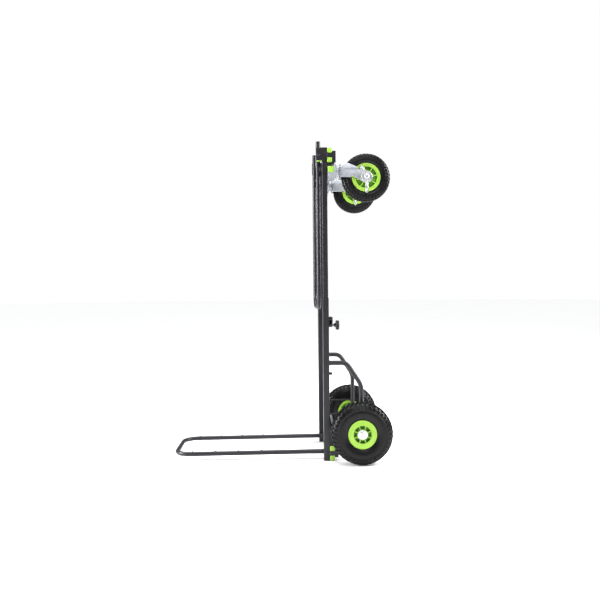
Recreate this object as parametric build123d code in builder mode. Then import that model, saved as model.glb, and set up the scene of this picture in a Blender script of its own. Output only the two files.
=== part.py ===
from build123d import *
import os
from math import cos, radians, sin

# A convertible hand truck, standing upright. +Z is up, the load toe points to -X, the wheels are
# on the +X side and the floor is Z = 0. Left is -Y and right is +Y, as seen from behind the truck.

# ---------------------------------------------------------------- driving dimensions, mm
# Telescoping frame: an inner rail slides in each outer rail.
frame_width = 343.0
rail_size = 25.4
rail_wall = 1.5
rail_corner = 2.5
inner_wall = 1.5
slide_clearance = 0.3
foot_thickness = 3.0
outer_rail_top = 680.0
inner_rail_overlap = 180.0
mast_top = 1311.0

# Each end of the frame carries the same group of cross members, measured in from that end.
cross_size = 20.0
cross_wall = 1.5
cross_corner = 2.0
end_stub_centre = 11.5
channel_start = 14.0
channel_overlap = 9.0
channel_depth = 16.0
channel_wall = 2.0
frame_cap_thickness = 3.0
notch_edge_gap = 1.5

# Two identical U handles, folding about bolts near the frame's ends.
handle_diameter = 19.0
handle_wall = 1.5
handle_reach = 650.0
handle_tail = 63.5
handle_bend = 62.0
handle_side_gap = 1.1
handle_plug_thickness = 4.0
plug_taper = 8.0
stud_taper = 20.0
handle_stub_gap = 0.5
handle_cross_gap = 1.0
toe_droop = 0.8
top_pivot_offset = 25.0
stud_first = 276.0
stud_pitch = 97.5
studs_per_leg = 4
stud_radius = 3.6
stud_height = 3.0
stud_shank_radius = 1.9

# Pivot bolts and what they pass through.
pivot_bolt_radius = 4.0
pivot_head_radius = 6.5
pivot_head_height = 4.0
pivot_nut_radius = 7.2
pivot_nut_height = 6.5
cheek_thickness = 3.0
cheek_height = 54.0
cheek_front = 34.5
spacer_reach = 32.0
spacer_overhang = 0.5
spacer_top_drop = 1.0

# Length lock: a bar across the tops of the outer rails, with a screw knob in each end.
lock_bar_depth = 14.0
lock_bar_height = 30.0
lock_bar_wall = 2.0
lock_bar_drop = 120.0
knob_drop = 113.0
knob_screw_radius = 4.0
knob_stem_length = 6.0
knob_cone_length = 9.0
knob_cone_radius = 6.0
knob_neck_radius = 9.0
knob_head_radius = 21.5
knob_head_thickness = 14.0
knob_lobes = 6
knob_lobe_radius = 5.0
bumper_radius = 6.0
bumper_length = 13.0
bumper_gap = 1.0
lower_bumper_height = 363.5

# Large wheels and their axle.
wheel_radius = 127.0
wheel_width = 76.0
wheel_overhang = 50.5
axle_setback = 139.0
axle_radius = 7.95
axle_tube_radius = 14.0
axle_tube_overhang = 19.2
wheel_rim_radius = 56.5
wheel_rim_width = 60.0
wheel_window_radius = 36.0
wheel_hub_radius = 22.0
wheel_hub_width = 60.0
wheel_ribs = 8
wheel_rib_turn = 22.5
wheel_web_thickness = 24.0
rib_thickness = 4.0
rib_recess = 0.5
rib_overlap = 2.0
rim_barrel_wall = 5.0
rim_face_thickness = 4.0
rim_lip_height = 2.0
rim_lip_thickness = 2.6
rim_lip_gap = 2.4
wheel_bearing_radius = 17.5
wheel_bearing_width = 11.0
hub_cap_thickness = 3.0
axle_nut_radius = 13.0
axle_nut_height = 7.0
axle_washer_radius = 15.0
axle_washer_thickness = 2.0
axle_spacer_wall = 3.0
axle_chamfer = 1.0
hub_bore_gap = 2.0
tyre_wall = 7.0

# Braces from the outer rails to the axle.
brace_diameter = 19.0
brace_wall = 1.5
brace_top = 408.0
brace_shoulder = 86.0
brace_setback = 147.0
brace_lower_bend = 314.0
brace_bends = (40.0, 80.0)
strut_top = 196.0
strut_thickness = 5.0
strut_width = 14.0
stay_width = 9.0
stay_thickness = 3.0
stay_top_setback = 12.8
stay_foot_setback = 39.0

# Casters, lying behind the upper end, swivelling about X.
caster_overhang = 21.5
caster_tube_size = 25.4
caster_tube_drop = 97.5
caster_tube_overhang = 10.0
caster_cap_thickness = 3.0
caster_axis_drop = 8.0
caster_trail = 28.0
fork_tyre_gap = 4.7
caster_radius = 100.0
caster_width = 50.0
caster_tyre_wall = 5.0
caster_rim_radius = 57.0
caster_rim_width = 40.0
caster_window_radius = 44.0
caster_hub_radius = 17.0
caster_hub_width = 56.0
caster_ribs = 8
caster_rib_turn = 12.0
caster_web_thickness = 14.0
caster_bearing_radius = 14.0
caster_bearing_width = 8.0
caster_axle_radius = 5.95
bracket_thickness = 3.0
bracket_width = 70.0
bracket_below = 48.0
bracket_above = 22.0
bracket_corner = 5.0
bracket_cheek_inset = 7.0
bracket_cheek_below = 37.0
caster_plate_thickness = 4.0
plate_bolt_spacing_y = 52.0
plate_bolt_spacing_z = 52.0
plate_bolt_radius = 4.0
plate_bolt_head = 6.5
plate_bolt_head_height = 3.5
kingpin_radius = 6.0
kingpin_head_radius = 10.0
kingpin_head_height = 4.0
race_radius = 25.0
race_length = 16.0
race_gap = 0.5
fork_thickness = 3.5
fork_leg_gap = 1.5
fork_crown_radius = 28.0
fork_eye_radius = 25.0
fork_corner = 4.0
caster_head_radius = 10.0
caster_head_height = 5.0
caster_nut_radius = 10.5
caster_nut_height = 7.0
caster_bolt_tail = 1.0
brake_hub_radius = 22.0
brake_thickness = 4.0
brake_arm_length = 50.0
brake_arm_width = 16.0
brake_arm_lean = 28.0
brake_tab_length = 66.0
brake_tab_width = 12.0

# Fits
running_clearance = 0.05
body_gap = 0.5
seat_gap = 0.1
tube_plug_gap = 0.2

# ---------------------------------------------------------------- places worked out from those
inner_size = rail_size - 2 * rail_wall - 2 * slide_clearance
rail_y = (frame_width - rail_size) / 2
frame_half = frame_width / 2
# The overall box runs from the toe's tip to the back of the large wheels, and is centred on X = 0.
mast_x = (handle_reach - axle_setback - wheel_radius) / 2
inner_rail_foot = outer_rail_top - inner_rail_overlap
lock_bar_foot = outer_rail_top - lock_bar_drop
knob_height = outer_rail_top - knob_drop
bumper_heights = (lower_bumper_height, lock_bar_foot + lock_bar_height + bumper_radius + bumper_gap)
outer_back = mast_x + rail_size / 2
inner_back = mast_x + inner_size / 2
inner_outside = rail_y + inner_size / 2
handle_radius = handle_diameter / 2
leg_y = rail_y - rail_size / 2 - handle_side_gap - handle_radius
pivot_from_end = end_stub_centre + cross_size / 2 + handle_stub_gap + handle_radius
cross_tube_centre = pivot_from_end + handle_radius + handle_cross_gap + cross_size / 2
channel_end = cross_tube_centre + cross_size / 2 + channel_overlap
pivot_nut_seat = leg_y - handle_radius - body_gap
toe_pivot = (mast_x, 0.0, pivot_from_end)
top_pivot = (mast_x - top_pivot_offset, 0.0, mast_top - pivot_from_end)
axle_x = mast_x + axle_setback
wheel_y = frame_half + wheel_overhang
caster_y = frame_half + caster_overhang
caster_tube_half = caster_y + caster_tube_overhang
caster_tube_height = mast_top - caster_tube_drop
caster_axis_height = caster_tube_height - caster_axis_drop
caster_tube_back = inner_back + caster_tube_size
bracket_back = caster_tube_back + bracket_thickness
caster_plate_back = bracket_back + caster_plate_thickness
crown_front = caster_plate_back + race_gap + race_length
crown_back = crown_front + fork_thickness
caster_axle_x = crown_back + fork_tyre_gap + caster_radius
caster_axle_z = caster_axis_height - caster_trail
fork_inside = caster_hub_width / 2 + fork_leg_gap
fork_outside = fork_inside + fork_thickness
bracket_foot = caster_tube_height - bracket_below
bracket_top = caster_tube_height + bracket_above
bracket_cheek_foot = caster_tube_height - bracket_cheek_below
bracket_height = bracket_top - bracket_foot
bracket_middle = (bracket_top + bracket_foot) / 2
sides = {"left": -1, "right": 1}


# ---------------------------------------------------------------- helpers
def along_x(x, y, z):
    """Plane facing +X, whose own x is Y and own y is Z."""
    return Plane(origin=(x, y, z), x_dir=(0, 1, 0), z_dir=(1, 0, 0))


def along_y(x, y, z, sign=1):
    """Plane facing +Y, or -Y where sign is -1, whose own x is X."""
    return Plane(origin=(x, y, z), x_dir=(1, 0, 0), z_dir=(0, sign, 0))


def side_plane(y):
    """Plane seen from -Y, whose own x is X and own y is Z, at the height and length of the frame."""
    return Plane(origin=(0, y, 0), x_dir=(1, 0, 0), z_dir=(0, -1, 0))


def save(piece, label):
    """Labels a finished piece and writes it."""
    piece.label = label
    export_step(piece, f"parts/{label}.step")


def square_tube(plane, size, wall, corner, length):
    """Square tube with rounded corners, along the plane's normal."""
    with BuildPart() as tube:
        with BuildSketch(plane):
            RectangleRounded(size, size, corner)
            RectangleRounded(size - 2 * wall, size - 2 * wall, corner / 2, mode=Mode.SUBTRACT)
        extrude(amount=length)
    return tube.part


def ring(plane, outer_radius, inner_radius, length):
    """Round tube, washer or bush along the plane's normal."""
    with BuildPart() as piece:
        with BuildSketch(plane):
            Circle(outer_radius)
            Circle(inner_radius, mode=Mode.SUBTRACT)
        extrude(amount=length)
    return piece.part


def hex_nut(plane, radius, bore_radius, height):
    """Hexagon nut standing on a plane, radius across its corners."""
    with BuildPart() as nut:
        with BuildSketch(plane):
            RegularPolygon(radius, 6)
            Circle(bore_radius, mode=Mode.SUBTRACT)
        extrude(amount=height)
    return nut.part


def button_bolt(plane, shaft_radius, shaft_length, head_radius, head_height):
    """Round-headed bolt: the head stands behind the plane and the shaft runs along its normal."""
    with BuildPart() as bolt:
        with BuildSketch(plane):
            Circle(head_radius)
        extrude(amount=-head_height)
        fillet(bolt.faces().sort_by(Axis(plane.origin, plane.z_dir))[0].edges(), head_height * 0.6)
        with BuildSketch(plane):
            Circle(shaft_radius)
        extrude(amount=shaft_length)
    return bolt.part


def tube_cap(plane, size, thickness, bore):
    """Square cap on a tube's end: a head that stands out of the plane and an insert behind it."""
    with BuildPart() as cap:
        with BuildSketch(plane):
            RectangleRounded(size, size, cross_corner)
        extrude(amount=thickness)
        chamfer(cap.faces().sort_by(Axis(plane.origin, plane.z_dir))[-1].edges(), thickness * 0.35)
        with BuildSketch(plane):
            Rectangle(bore - 2 * tube_plug_gap - cross_corner, bore - 2 * tube_plug_gap - cross_corner)
        extrude(amount=-size / 2)
    return cap.part


def end_height(end, distance):
    """Height of a point that lies this far in from the frame's lower or upper end."""
    return distance if end == "lower" else mast_top - distance


# ---------------------------------------------------------------- frame rails
os.makedirs("parts", exist_ok=True)

for side, sign in sides.items():
    with BuildPart() as outer_rail:
        with BuildSketch(Plane.XY.offset(foot_thickness)):
            with Locations((mast_x, sign * rail_y)):
                RectangleRounded(rail_size, rail_size, rail_corner)
                bore = rail_size - 2 * rail_wall
                RectangleRounded(bore, bore, rail_corner / 2, mode=Mode.SUBTRACT)
        extrude(amount=outer_rail_top - foot_thickness)
        # Hole through both side walls for the toe handle's pivot bolt.
        with BuildSketch(along_y(mast_x, sign * rail_y, pivot_from_end)):
            Circle(pivot_bolt_radius + body_gap)
        extrude(amount=rail_size, both=True, mode=Mode.SUBTRACT)
        # Hole in the back wall for the length lock's screw.
        with BuildSketch(along_x(mast_x, sign * rail_y, knob_height)):
            Circle(knob_screw_radius + body_gap)
        extrude(amount=rail_size, mode=Mode.SUBTRACT)
    save(outer_rail.part, f"outer_rail_{side}")

    with BuildPart() as inner_rail:
        with BuildSketch(Plane.XY.offset(inner_rail_foot)):
            with Locations((mast_x, sign * rail_y)):
                RectangleRounded(inner_size, inner_size, rail_corner)
                inner_bore = inner_size - 2 * inner_wall
                RectangleRounded(inner_bore, inner_bore, rail_corner / 2, mode=Mode.SUBTRACT)
        extrude(amount=mast_top - inner_rail_foot)
    save(inner_rail.part, f"inner_rail_{side}")

with BuildPart() as rail_foot_plugs:
    for sign in sides.values():
        with BuildSketch(Plane.XY):
            with Locations((mast_x, sign * rail_y)):
                RectangleRounded(rail_size, rail_size, rail_corner)
        extrude(amount=foot_thickness)
        with BuildSketch(Plane.XY.offset(foot_thickness)):
            with Locations((mast_x, sign * rail_y)):
                plug_size = rail_size - 2 * rail_wall - 2 * tube_plug_gap
                RectangleRounded(plug_size, plug_size, rail_corner)
        extrude(amount=pivot_from_end / 2)
save(rail_foot_plugs.part, "rail_foot_plugs")

# ---------------------------------------------------------------- cross members of each frame end
for end, back in {"lower": outer_back, "upper": inner_back}.items():
    stub_z = end_height(end, end_stub_centre)
    tube_z = end_height(end, cross_tube_centre)
    channel_z = end_height(end, (channel_start + channel_end) / 2)
    cross_x = back + cross_size / 2
    stub_inside = rail_y - rail_size / 2
    outside = frame_half if end == "lower" else inner_outside

    with BuildPart() as end_stubs:
        for sign in sides.values():
            stub_plane = along_y(cross_x, sign * stub_inside, stub_z, sign)
            add(square_tube(stub_plane, cross_size, cross_wall, cross_corner, outside - stub_inside))
    save(end_stubs.part, f"{end}_end_stubs")

    cross_plane = along_y(cross_x, -outside, tube_z)
    cross_tube = square_tube(cross_plane, cross_size, cross_wall, cross_corner, 2 * outside)
    save(cross_tube, f"{end}_cross_tube")

    with BuildPart() as frame_caps:
        for sign in sides.values():
            for height in (stub_z, tube_z):
                cap_plane = along_y(cross_x, sign * outside, height, sign)
                add(tube_cap(cap_plane, cross_size, frame_cap_thickness, cross_size - 2 * cross_wall))
    save(frame_caps.part, f"{end}_frame_caps")

    # Box channel behind the cross tubes, notched where the handle's tails swing through.
    channel_x = back + cross_size + channel_depth / 2
    channel_height = channel_end - channel_start
    with BuildPart() as channel:
        with BuildSketch(along_y(channel_x, -outside, channel_z)):
            RectangleRounded(channel_depth, channel_height, cross_corner)
            inside = (channel_depth - 2 * channel_wall, channel_height - 2 * channel_wall)
            RectangleRounded(*inside, cross_corner / 2, mode=Mode.SUBTRACT)
        extrude(amount=2 * outside)
        for sign in sides.values():
            with BuildSketch(along_y(channel_x, sign * outside, channel_z, -sign)):
                RectangleRounded(channel_depth, channel_height, cross_corner)
            extrude(amount=channel_wall)
        notch_depth = pivot_from_end + handle_radius + 2 * notch_edge_gap
        notch_middle = end_height(end, notch_depth / 2)
        for sign in sides.values():
            with BuildSketch(along_x(channel_x, sign * leg_y, notch_middle)):
                Rectangle(handle_diameter + 2 * notch_edge_gap, notch_depth)
            extrude(amount=channel_depth, both=True, mode=Mode.SUBTRACT)
        # A web at each side closes the gap between the end stub and the cross tube.
        web_near = end_stub_centre + cross_size / 2 + body_gap
        web_far = cross_tube_centre - cross_size / 2 - body_gap
        web_length = cross_size - body_gap + channel_wall
        web_middle = (back + body_gap + web_length / 2, end_height(end, (web_near + web_far) / 2))
        for sign in sides.values():
            with BuildSketch(along_y(web_middle[0], sign * outside, web_middle[1], -sign)):
                Rectangle(web_length, web_far - web_near)
            extrude(amount=channel_wall)
    save(channel.part, f"{end}_guide_channel")


# ---------------------------------------------------------------- folding handles
def handle_place(plane, along, across, above):
    """Plane facing the handle's load side, at a place measured from the pivot."""
    origin = plane.from_local_coords((along, across, above))
    return Plane(origin=origin, x_dir=plane.x_dir, z_dir=plane.z_dir)


def u_handle(plane):
    """Bent U tube: the plane's x points from the pivot to the tip and its z to the load side."""
    tail = handle_tail - handle_plug_thickness
    reach = handle_reach - handle_radius
    with BuildPart() as handle:
        with BuildLine(plane):
            corners = [(-tail, -leg_y), (reach, -leg_y), (reach, leg_y), (-tail, leg_y)]
            FilletPolyline(*corners, radius=handle_bend)
        with BuildSketch(Plane(origin=plane.from_local_coords((-tail, -leg_y, 0)), z_dir=plane.x_dir)):
            Circle(handle_radius)
            Circle(handle_radius - handle_wall, mode=Mode.SUBTRACT)
        sweep()
        with BuildSketch(Plane(origin=plane.origin, x_dir=plane.x_dir, z_dir=plane.y_dir)):
            Circle(pivot_bolt_radius + running_clearance)
        extrude(amount=2 * leg_y, both=True, mode=Mode.SUBTRACT)
        for number in range(studs_per_leg):
            for sign in sides.values():
                with BuildSketch(handle_place(plane, stud_first + number * stud_pitch, sign * leg_y, 0)):
                    Circle(stud_shank_radius + seat_gap)
                extrude(amount=2 * handle_radius, mode=Mode.SUBTRACT)
    return handle.part


def handle_studs(plane):
    """Round-headed rubber studs along the load side of both legs, each pressed in a hole."""
    with BuildPart() as studs:
        for number in range(studs_per_leg):
            for sign in sides.values():
                along = stud_first + number * stud_pitch
                with BuildSketch(handle_place(plane, along, sign * leg_y, handle_radius)):
                    Circle(stud_radius)
                extrude(amount=stud_height, taper=stud_taper)
                with BuildSketch(handle_place(plane, along, sign * leg_y, handle_radius)):
                    Circle(stud_shank_radius)
                extrude(amount=-2 * handle_wall)
    return studs.part


def handle_plugs(plane):
    """Domed plugs in the two open ends of the handle's tails."""
    tail = handle_tail - handle_plug_thickness
    with BuildPart() as plugs:
        for sign in sides.values():
            origin = plane.from_local_coords((-tail, sign * leg_y, 0))
            with BuildSketch(Plane(origin=origin, z_dir=-plane.x_dir)):
                Circle(handle_radius)
            extrude(amount=handle_plug_thickness, taper=plug_taper)
            with BuildSketch(Plane(origin=origin, z_dir=plane.x_dir)):
                Circle(handle_radius - handle_wall - tube_plug_gap)
            extrude(amount=handle_diameter)
    return plugs.part


droop = radians(toe_droop)
toe_plane = Plane(origin=toe_pivot, x_dir=(-cos(droop), 0, -sin(droop)), z_dir=(-sin(droop), 0, cos(droop)))
top_plane = Plane(origin=top_pivot, x_dir=(0, 0, -1), z_dir=(1, 0, 0))
for handle_name, handle_plane in {"toe": toe_plane, "top": top_plane}.items():
    save(u_handle(handle_plane), f"{handle_name}_handle_tube")
    save(handle_studs(handle_plane), f"{handle_name}_handle_studs")
    save(handle_plugs(handle_plane), f"{handle_name}_handle_plugs")


def pivot_bolts(pivot, head_seat):
    """A bolt and a nut for each leg, with the heads outside the frame."""
    x, _, z = pivot
    with BuildPart() as bolts:
        for sign in sides.values():
            length = head_seat - pivot_nut_seat + pivot_nut_height + body_gap
            seat = along_y(x, sign * head_seat, z, -sign)
            add(button_bolt(seat, pivot_bolt_radius, length, pivot_head_radius, pivot_head_height))
            nut_seat = along_y(x, sign * pivot_nut_seat, z, -sign)
            add(hex_nut(nut_seat, pivot_nut_radius, pivot_bolt_radius + seat_gap, pivot_nut_height))
    return bolts.part


save(pivot_bolts(toe_pivot, frame_half), "toe_pivot_bolts")
save(pivot_bolts(top_pivot, inner_outside + cheek_thickness), "top_pivot_bolts")

# The top handle's legs hang in front of the inner rails, from plates on the rails' outer faces.
cheek_z = mast_top - cheek_height / 2
cheek_x = (mast_x - cheek_front + inner_back) / 2
with BuildPart() as cheek_plates:
    for sign in sides.values():
        with BuildSketch(along_y(cheek_x, sign * inner_outside, cheek_z, sign)):
            RectangleRounded(inner_back - mast_x + cheek_front, cheek_height, rail_corner)
        extrude(amount=cheek_thickness)
        with BuildSketch(along_y(top_pivot[0], sign * inner_outside, top_pivot[2], sign)):
            Circle(pivot_bolt_radius + seat_gap)
        extrude(amount=cheek_thickness, mode=Mode.SUBTRACT)
save(cheek_plates.part, "cheek_plates")

spacer_inside = leg_y + handle_radius + body_gap
with BuildPart() as spacer_blocks:
    for sign in sides.values():
        spacer_front = mast_x - spacer_reach
        spacer_back = mast_x - inner_size / 2 - seat_gap
        spacer_x = (spacer_front + spacer_back) / 2
        spacer_z = cheek_z - (spacer_overhang + spacer_top_drop) / 2
        spacer_height = cheek_height + spacer_overhang - spacer_top_drop
        with BuildSketch(along_y(spacer_x, sign * spacer_inside, spacer_z, sign)):
            RectangleRounded(spacer_back - spacer_front, spacer_height, rail_corner)
        extrude(amount=inner_outside - spacer_inside)
        with BuildSketch(along_y(top_pivot[0], sign * spacer_inside, top_pivot[2], sign)):
            Circle(pivot_bolt_radius + seat_gap)
        extrude(amount=inner_outside - spacer_inside, mode=Mode.SUBTRACT)
save(spacer_blocks.part, "spacer_blocks")

# ---------------------------------------------------------------- length lock
lock_bar_middle = lock_bar_foot + lock_bar_height / 2
with BuildPart() as lock_cross_bar:
    with BuildSketch(along_y(outer_back + lock_bar_depth / 2, -frame_half, lock_bar_middle)):
        RectangleRounded(lock_bar_depth, lock_bar_height, cross_corner)
        bar_inside = (lock_bar_depth - 2 * lock_bar_wall, lock_bar_height - 2 * lock_bar_wall)
        RectangleRounded(*bar_inside, cross_corner / 2, mode=Mode.SUBTRACT)
    extrude(amount=frame_width)
    for sign in sides.values():
        with BuildSketch(along_x(outer_back, sign * rail_y, knob_height)):
            Circle(knob_screw_radius + running_clearance)
        extrude(amount=lock_bar_depth, mode=Mode.SUBTRACT)
save(lock_cross_bar.part, "lock_cross_bar")

for side, sign in sides.items():
    screw_tip = inner_back + slide_clearance + seat_gap
    cone_start = outer_back + lock_bar_depth + knob_stem_length
    head_start = cone_start + knob_cone_length
    with BuildPart() as knob:
        with BuildSketch(along_x(screw_tip, sign * rail_y, knob_height)):
            Circle(knob_screw_radius)
        extrude(amount=head_start - screw_tip)
        with BuildSketch(along_x(cone_start, sign * rail_y, knob_height)):
            Circle(knob_cone_radius)
        with BuildSketch(along_x(head_start, sign * rail_y, knob_height)):
            Circle(knob_neck_radius)
        loft()
        with BuildSketch(along_x(head_start, sign * rail_y, knob_height)):
            Circle(knob_head_radius)
            with PolarLocations(knob_head_radius + knob_lobe_radius / 2, knob_lobes):
                Circle(knob_lobe_radius, mode=Mode.SUBTRACT)
        extrude(amount=knob_head_thickness)
        fillet(knob.faces().sort_by(Axis.X)[-1].edges(), knob_head_thickness * 0.2)
    save(knob.part, f"lock_knob_{side}")

with BuildPart() as stop_bumpers:
    for sign in sides.values():
        for height in bumper_heights:
            with BuildSketch(along_x(outer_back, sign * rail_y, height)):
                Circle(bumper_radius)
            extrude(amount=bumper_length, taper=3)
save(stop_bumpers.part, "stop_bumpers")

# ---------------------------------------------------------------- braces and axle
for side, sign in sides.items():
    brace_end = mast_x + brace_setback
    with BuildPart() as brace:
        with BuildLine(side_plane(sign * rail_y)):
            FilletPolyline(
                (outer_back, brace_top),
                (mast_x + brace_shoulder, brace_top),
                (brace_end, brace_lower_bend),
                (brace_end, wheel_radius),
                radius=list(brace_bends),
            )
        with BuildSketch(along_x(outer_back, sign * rail_y, brace_top)):
            Circle(brace_diameter / 2)
            Circle(brace_diameter / 2 - brace_wall, mode=Mode.SUBTRACT)
        sweep()
        # Saddle cut where the brace stands on the axle tube.
        with BuildSketch(along_y(axle_x, sign * rail_y, wheel_radius)):
            Circle(axle_tube_radius)
        extrude(amount=brace_diameter, both=True, mode=Mode.SUBTRACT)
    save(brace.part, f"axle_brace_{side}")

strut_length = brace_setback - brace_diameter / 2 - rail_size / 2
with BuildPart() as axle_struts:
    for sign in sides.values():
        with BuildSketch(along_x(outer_back, sign * rail_y, strut_top - strut_thickness / 2)):
            RectangleRounded(strut_width, strut_thickness, strut_thickness / 4)
        extrude(amount=strut_length)
save(axle_struts.part, "axle_struts")

with BuildPart() as strut_stay:
    with BuildSketch(side_plane(-rail_y)):
        with BuildLine():
            Polyline(
                (mast_x + stay_top_setback, strut_top - strut_thickness),
                (mast_x + stay_top_setback + stay_width, strut_top - strut_thickness),
                (mast_x + stay_foot_setback + stay_width, channel_end),
                (mast_x + stay_foot_setback, channel_end),
                close=True,
            )
        make_face()
    extrude(amount=stay_thickness / 2, both=True)
save(strut_stay.part, "strut_stay")

axle_tube_half = rail_y + axle_tube_overhang
wheel_hub_inside = wheel_y - wheel_hub_width / 2
wheel_hub_outside = wheel_y + wheel_hub_width / 2
cap_outside = wheel_hub_outside + hub_cap_thickness
axle_end = cap_outside + body_gap + axle_washer_thickness + axle_nut_height + 2 * body_gap

tube_plane = along_y(axle_x, -axle_tube_half, wheel_radius)
save(ring(tube_plane, axle_tube_radius, axle_radius + seat_gap, 2 * axle_tube_half), "axle_tube")

with BuildPart() as axle:
    with BuildSketch(along_y(axle_x, -axle_end, wheel_radius)):
        Circle(axle_radius)
    extrude(amount=2 * axle_end)
    chamfer(axle.edges().filter_by(GeomType.CIRCLE), axle_chamfer)
save(axle.part, "axle")

with BuildPart() as axle_fasteners:
    for sign in sides.values():
        hub_gap = wheel_hub_inside - axle_tube_half - body_gap
        spacer_seat = along_y(axle_x, sign * axle_tube_half, wheel_radius, sign)
        add(ring(spacer_seat, axle_radius + axle_spacer_wall, axle_radius + seat_gap, hub_gap))
        washer_seat = along_y(axle_x, sign * (cap_outside + body_gap), wheel_radius, sign)
        add(ring(washer_seat, axle_washer_radius, axle_radius + seat_gap, axle_washer_thickness))
        nut_y = cap_outside + body_gap + axle_washer_thickness
        nut_seat = along_y(axle_x, sign * nut_y, wheel_radius, sign)
        add(hex_nut(nut_seat, axle_nut_radius, axle_radius + seat_gap, axle_nut_height))
save(axle_fasteners.part, "axle_fasteners")


# ---------------------------------------------------------------- wheels
def pneumatic_tyre(centre, radius, width, rim_radius, rim_width, wall):
    """Hollow tyre with open beads, revolved about the wheel's axle along Y."""
    bead = rim_radius + seat_gap
    bead_half = rim_width / 2 - rim_lip_thickness - rim_lip_gap
    middle = (radius + bead) / 2
    shoulder = radius - width * 0.1
    shoulder_half = width * 0.4
    half = width / 2
    with BuildPart() as tyre:
        with BuildSketch(along_x(*centre)):
            with BuildLine():
                ThreePointArc((bead_half, bead), (half, middle), (shoulder_half, shoulder))
                ThreePointArc((shoulder_half, shoulder), (0, radius), (-shoulder_half, shoulder))
                ThreePointArc((-shoulder_half, shoulder), (-half, middle), (-bead_half, bead))
                Line((-bead_half, bead), (wall - bead_half, bead))
                inner_shoulder = shoulder - wall
                inner_half = shoulder_half - wall * 0.8
                ThreePointArc((wall - bead_half, bead), (wall - half, middle), (-inner_half, inner_shoulder))
                crown = (0, radius - wall * 1.4)
                ThreePointArc((-inner_half, inner_shoulder), crown, (inner_half, inner_shoulder))
                ThreePointArc((inner_half, inner_shoulder), (half - wall, middle), (bead_half - wall, bead))
                Line((bead_half - wall, bead), (bead_half, bead))
            make_face()
        revolve(axis=Axis(centre, (0, 1, 0)))
    return tyre.part


def spoked_rim(centre, radius, width, window_radius, hub_radius, hub_width, spokes, bearing):
    """Moulded rim: barrel, lips, middle web, hub and radial ribs, with a bearing pocket each side."""
    bearing_radius, bearing_width, axle_hole = bearing
    ribs, rib_turn, web_thickness = spokes
    with BuildPart() as rim:
        with BuildSketch(along_y(*centre)):
            Circle(radius)
            Circle(radius - rim_barrel_wall, mode=Mode.SUBTRACT)
        extrude(amount=width / 2, both=True)
        with BuildSketch(along_y(*centre)):
            Circle(radius - rim_barrel_wall / 2)
        extrude(amount=web_thickness / 2, both=True)
        with BuildSketch(along_y(*centre)):
            Circle(hub_radius)
        extrude(amount=hub_width / 2, both=True)
        with BuildSketch(along_y(*centre)):
            with PolarLocations((radius + hub_radius) / 2 - rib_overlap, ribs, start_angle=rib_turn):
                Rectangle(radius - hub_radius, rib_thickness)
        extrude(amount=width / 2 - rib_recess, both=True)
        for sign in sides.values():
            face = along_y(centre[0], centre[1] + sign * width / 2, centre[2], -sign)
            with BuildSketch(face):
                Circle(radius)
                Circle(window_radius, mode=Mode.SUBTRACT)
            extrude(amount=rim_face_thickness)
            with BuildSketch(face):
                Circle(radius + rim_lip_height)
                Circle(radius - rim_barrel_wall, mode=Mode.SUBTRACT)
            extrude(amount=rim_lip_thickness)
            hub_face = along_y(centre[0], centre[1] + sign * hub_width / 2, centre[2], -sign)
            with BuildSketch(hub_face):
                Circle(bearing_radius + seat_gap)
            extrude(amount=bearing_width, mode=Mode.SUBTRACT)
        with BuildSketch(along_y(*centre)):
            Circle(axle_hole)
        extrude(amount=hub_width, both=True, mode=Mode.SUBTRACT)
    return rim.part


def wheel_bearings(centre, hub_width, bearing_radius, bearing_width, shaft_radius):
    """A ball bearing in each face of a hub, shown as its closed ring."""
    with BuildPart() as bearings:
        for sign in sides.values():
            seat = along_y(centre[0], centre[1] + sign * hub_width / 2, centre[2], -sign)
            add(ring(seat, bearing_radius, shaft_radius + running_clearance, bearing_width))
    return bearings.part


for side, sign in sides.items():
    centre = (axle_x, sign * wheel_y, wheel_radius)
    tyre = pneumatic_tyre(centre, wheel_radius, wheel_width, wheel_rim_radius, wheel_rim_width, tyre_wall)
    save(tyre, f"tyre_{side}")
    bearing = (wheel_bearing_radius, wheel_bearing_width, axle_radius + hub_bore_gap)
    rim = spoked_rim(
        centre,
        wheel_rim_radius,
        wheel_rim_width,
        wheel_window_radius,
        wheel_hub_radius,
        wheel_hub_width,
        (wheel_ribs, wheel_rib_turn, wheel_web_thickness),
        bearing,
    )
    save(rim, f"rim_{side}")
    ring_size = (wheel_bearing_radius, wheel_bearing_width, axle_radius)
    bearings = wheel_bearings(centre, wheel_hub_width, *ring_size)
    save(bearings, f"wheel_bearings_{side}")
    with BuildPart() as hub_cap:
        cap_plane = along_y(axle_x, sign * wheel_hub_outside, wheel_radius, sign)
        with BuildSketch(cap_plane):
            Circle(wheel_hub_radius)
            Circle(axle_radius + hub_bore_gap, mode=Mode.SUBTRACT)
        extrude(amount=hub_cap_thickness)
        rim_edges = hub_cap.edges().filter_by(GeomType.CIRCLE).sort_by(SortBy.RADIUS)[-2:]
        chamfer(rim_edges.sort_by(Axis.Y)[-1 if sign > 0 else 0], hub_cap_thickness / 2)
    save(hub_cap.part, f"hub_cap_{side}")

# ---------------------------------------------------------------- caster mounting
caster_tube_plane = along_y(inner_back + caster_tube_size / 2, -caster_tube_half, caster_tube_height)
caster_tube = square_tube(caster_tube_plane, caster_tube_size, cross_wall, cross_corner, 2 * caster_tube_half)
save(caster_tube, "caster_cross_tube")

with BuildPart() as caster_tube_caps:
    for sign in sides.values():
        cap_x = inner_back + caster_tube_size / 2
        cap_seat = along_y(cap_x, sign * caster_tube_half, caster_tube_height, sign)
        add(tube_cap(cap_seat, caster_tube_size, caster_cap_thickness, caster_tube_size - 2 * cross_wall))
save(caster_tube_caps.part, "caster_tube_caps")

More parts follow.
